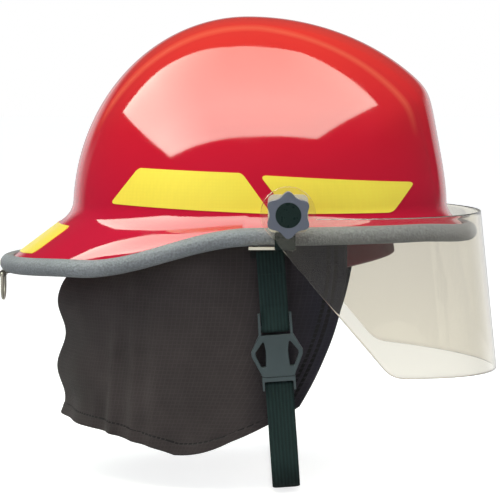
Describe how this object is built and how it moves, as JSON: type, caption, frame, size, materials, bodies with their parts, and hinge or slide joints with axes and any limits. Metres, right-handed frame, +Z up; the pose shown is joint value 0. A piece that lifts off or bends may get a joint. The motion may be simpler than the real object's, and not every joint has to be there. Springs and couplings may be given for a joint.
{
  "type": "fire helmet",
  "caption": "Fire helmet with a brim, edge trim, reflective markings, a tilting clear face shield on knobs, a neck curtain, a ratchet headband and a chin strap with a side-release buckle.",
  "frame": {"origin": "middle of the head opening at brim level, on the middle plane", "axes": "+X towards the front, +Y to the wearer's left, +Z up towards the crown"},
  "size_m": [0.3578, 0.3064, 0.3254],
  "materials": {
    "shell": "glossy, moulded, with a faint orange peel",
    "trim": "matt grey edge trim",
    "marking": "lime yellow retroreflective sheet",
    "foam": "closed cell foam, matt",
    "cap": "satin",
    "webbing": "ribbed woven webbing",
    "crown_webbing": "woven webbing",
    "plastic_black": "satin moulded",
    "pad": "padded flannel cloth",
    "pad_dark": "padded cloth",
    "knob": "satin slate grey",
    "cap_green": "satin",
    "curtain": "quilted flame-resistant cloth with a fine grid weave",
    "shield": "clear warm-tinted polycarbonate",
    "steel": "brushed",
    "bracket": "satin light grey",
    "buckle": "satin teal grey"
  },
  "bodies": {
    "helmet": {"outer_shell": "shell", "edge_trim": "trim", "marking_rear_right": "marking", "marking_rear_left": "marking", "marking_front_right": "marking", "marking_front_left": "marking", "marking_brim": "marking", "impact_liner": "foam", "inner_cap": "cap", "crown_strap_cross": "crown_webbing", "crown_strap_diagonal_right": "crown_webbing", "crown_strap_diagonal_left": "crown_webbing", "suspension_keys": "plastic_black", "headband": "plastic_black", "brow_pad": "pad", "nape_pad": "pad_dark", "ratchet_housing": "plastic_black", "ratchet_cover": "plastic_black", "curtain_strip": "plastic_black", "neck_curtain": "curtain", "shield_stud_right": "steel", "shield_stud_left": "steel", "inner_washers": "plastic_black", "outer_washers": "plastic_black", "shield_bracket_right": "bracket", "shield_bracket_left": "bracket", "bracket_sleeves": "plastic_black", "bracket_screws": "steel", "strap_rivets": "steel", "ring_bracket": "steel", "ring_rivets": "steel"},
    "shield": {"face_shield": "shield"},
    "knob_right": {"shield_knob_right": "knob", "knob_cap_right": "cap_green"},
    "knob_left": {"shield_knob_left": "knob", "knob_cap_left": "cap_green"},
    "ratchet": {"ratchet_pinion": "plastic_black", "ratchet_knob": "plastic_black"},
    "tail_right": {"band_tail_right": "plastic_black"},
    "tail_left": {"band_tail_left": "plastic_black"},
    "chin_strap": {"strap_hanger_right": "steel", "strap_hanger_left": "steel", "strap_upper_right": "webbing", "strap_upper_left": "webbing", "buckle_socket": "buckle", "strap_slider": "buckle"},
    "chin_loop": {"chin_loop": "webbing", "buckle_plug": "buckle"},
    "prong_front": {"prong_front": "buckle"},
    "prong_rear": {"prong_rear": "buckle"},
    "hang_ring": {"hang_ring": "steel"}
  },
  "joints": [
    {"name": "shield_tilt", "type": "hinge", "parent": "helmet", "child": "shield", "pos_m": [0.019, 0, 0.027], "axis": [0, -1, 0], "range_deg": [0, 75]},
    {"name": "knob_right_turn", "type": "hinge", "parent": "helmet", "child": "knob_right", "pos_m": [0.019, -0.146, 0.027], "axis": [0, -1, 0], "range_deg": [-180, 180]},
    {"name": "knob_left_turn", "type": "hinge", "parent": "helmet", "child": "knob_left", "pos_m": [0.019, 0.146, 0.027], "axis": [0, 1, 0], "range_deg": [-180, 180]},
    {"name": "ratchet_turn", "type": "hinge", "parent": "helmet", "child": "ratchet", "pos_m": [-0.0989, 0, -0.02419], "axis": [0.9848, 0, 0.1736], "range_deg": [-60, 60]},
    {"name": "tail_left_turn", "type": "hinge", "parent": "helmet", "child": "tail_left", "pos_m": [-0.01576, 0, -0.02578], "axis": [-0.1736, 0, 0.9848], "range_deg": [-4.4, 4.4]},
    {"name": "tail_right_turn", "type": "hinge", "parent": "helmet", "child": "tail_right", "pos_m": [-0.01576, 0, -0.02578], "axis": [-0.1736, 0, 0.9848], "range_deg": [-4.4, 4.4]},
    {"name": "chin_strap_swing", "type": "hinge", "parent": "helmet", "child": "chin_strap", "pos_m": [0.0065, 0, 0.009], "axis": [0, -1, 0], "range_deg": [-12, 20]},
    {"name": "buckle_slide", "type": "slide", "parent": "chin_strap", "child": "chin_loop", "axis": [0.0698, 0, -0.9976], "range_m": [0, 0.026]},
    {"name": "prong_front_squeeze", "type": "hinge", "parent": "chin_loop", "child": "prong_front", "pos_m": [0.02, -0.111, -0.08659], "axis": [0, -1, 0], "range_deg": [0, 10], "stiffness_Nm_per_rad": 0.5},
    {"name": "prong_rear_squeeze", "type": "hinge", "parent": "chin_loop", "child": "prong_rear", "pos_m": [0.00643, -0.111, -0.08754], "axis": [0, 1, 0], "range_deg": [0, 10], "stiffness_Nm_per_rad": 0.5},
    {"name": "hang_ring_swing", "type": "hinge", "parent": "helmet", "child": "hang_ring", "pos_m": [-0.18408, 0, -0.02382], "axis": [0, 1, 0], "range_deg": [-60, 100]}
  ],
  "couplings": [
    {"joint": "tail_left_turn", "follows": "ratchet_turn", "ratio": 0.072464},
    {"joint": "tail_right_turn", "follows": "ratchet_turn", "ratio": -0.072464}
  ]
}
